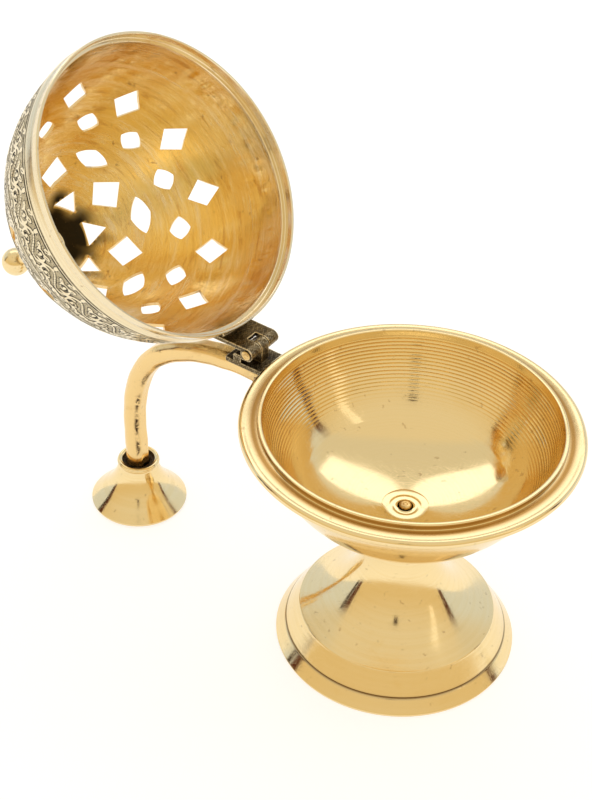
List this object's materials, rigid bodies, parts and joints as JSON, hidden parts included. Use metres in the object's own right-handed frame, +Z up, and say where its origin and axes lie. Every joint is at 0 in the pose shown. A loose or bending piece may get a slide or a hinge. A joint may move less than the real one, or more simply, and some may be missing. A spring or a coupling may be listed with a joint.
{
  "type": "incense burner",
  "caption": "Footed brass burner bowl with a hinged, pierced dome lid shown open, a curved side handle on a small bell foot, and a ball finial",
  "frame": {"origin": "centre of the pedestal's base, on the surface it stands on", "axes": "+Z up through the bowl's middle, -X towards the hinge and the handle, Y along the hinge pin"},
  "size_m": [0.2074, 0.1, 0.1652],
  "materials": {
    "turned_brass": "polished, with fine turning lines",
    "rivet_brass": "worn",
    "cast_brass": "hand filed and buffed",
    "brazing": "rough, browned by heat",
    "polished_brass": "mirror polished",
    "dark_solder": "dull, blackened",
    "lid_brass": "polished, engraved and patinated outside",
    "dark_brass": "tarnished, worn bright at the edges"
  },
  "bodies": {
    "base": {"pedestal_foot": "turned_brass", "bowl": "turned_brass", "centre_stud": "rivet_brass", "handle_rod": "cast_brass", "handle_brazing": "brazing", "bell_foot": "polished_brass", "bell_packing": "dark_solder", "hinge_bowl_leaf": "dark_brass", "hinge_pin": "rivet_brass"},
    "lid": {"lid_dome": "lid_brass", "finial": "polished_brass", "hinge_lid_leaf": "dark_brass"}
  },
  "joints": [
    {"name": "lid_hinge", "type": "hinge", "parent": "base", "child": "lid", "pos_m": [-0.0545, 0, 0.0858], "axis": [0, 1, 0], "range_deg": [0, 129.9]}
  ]
}
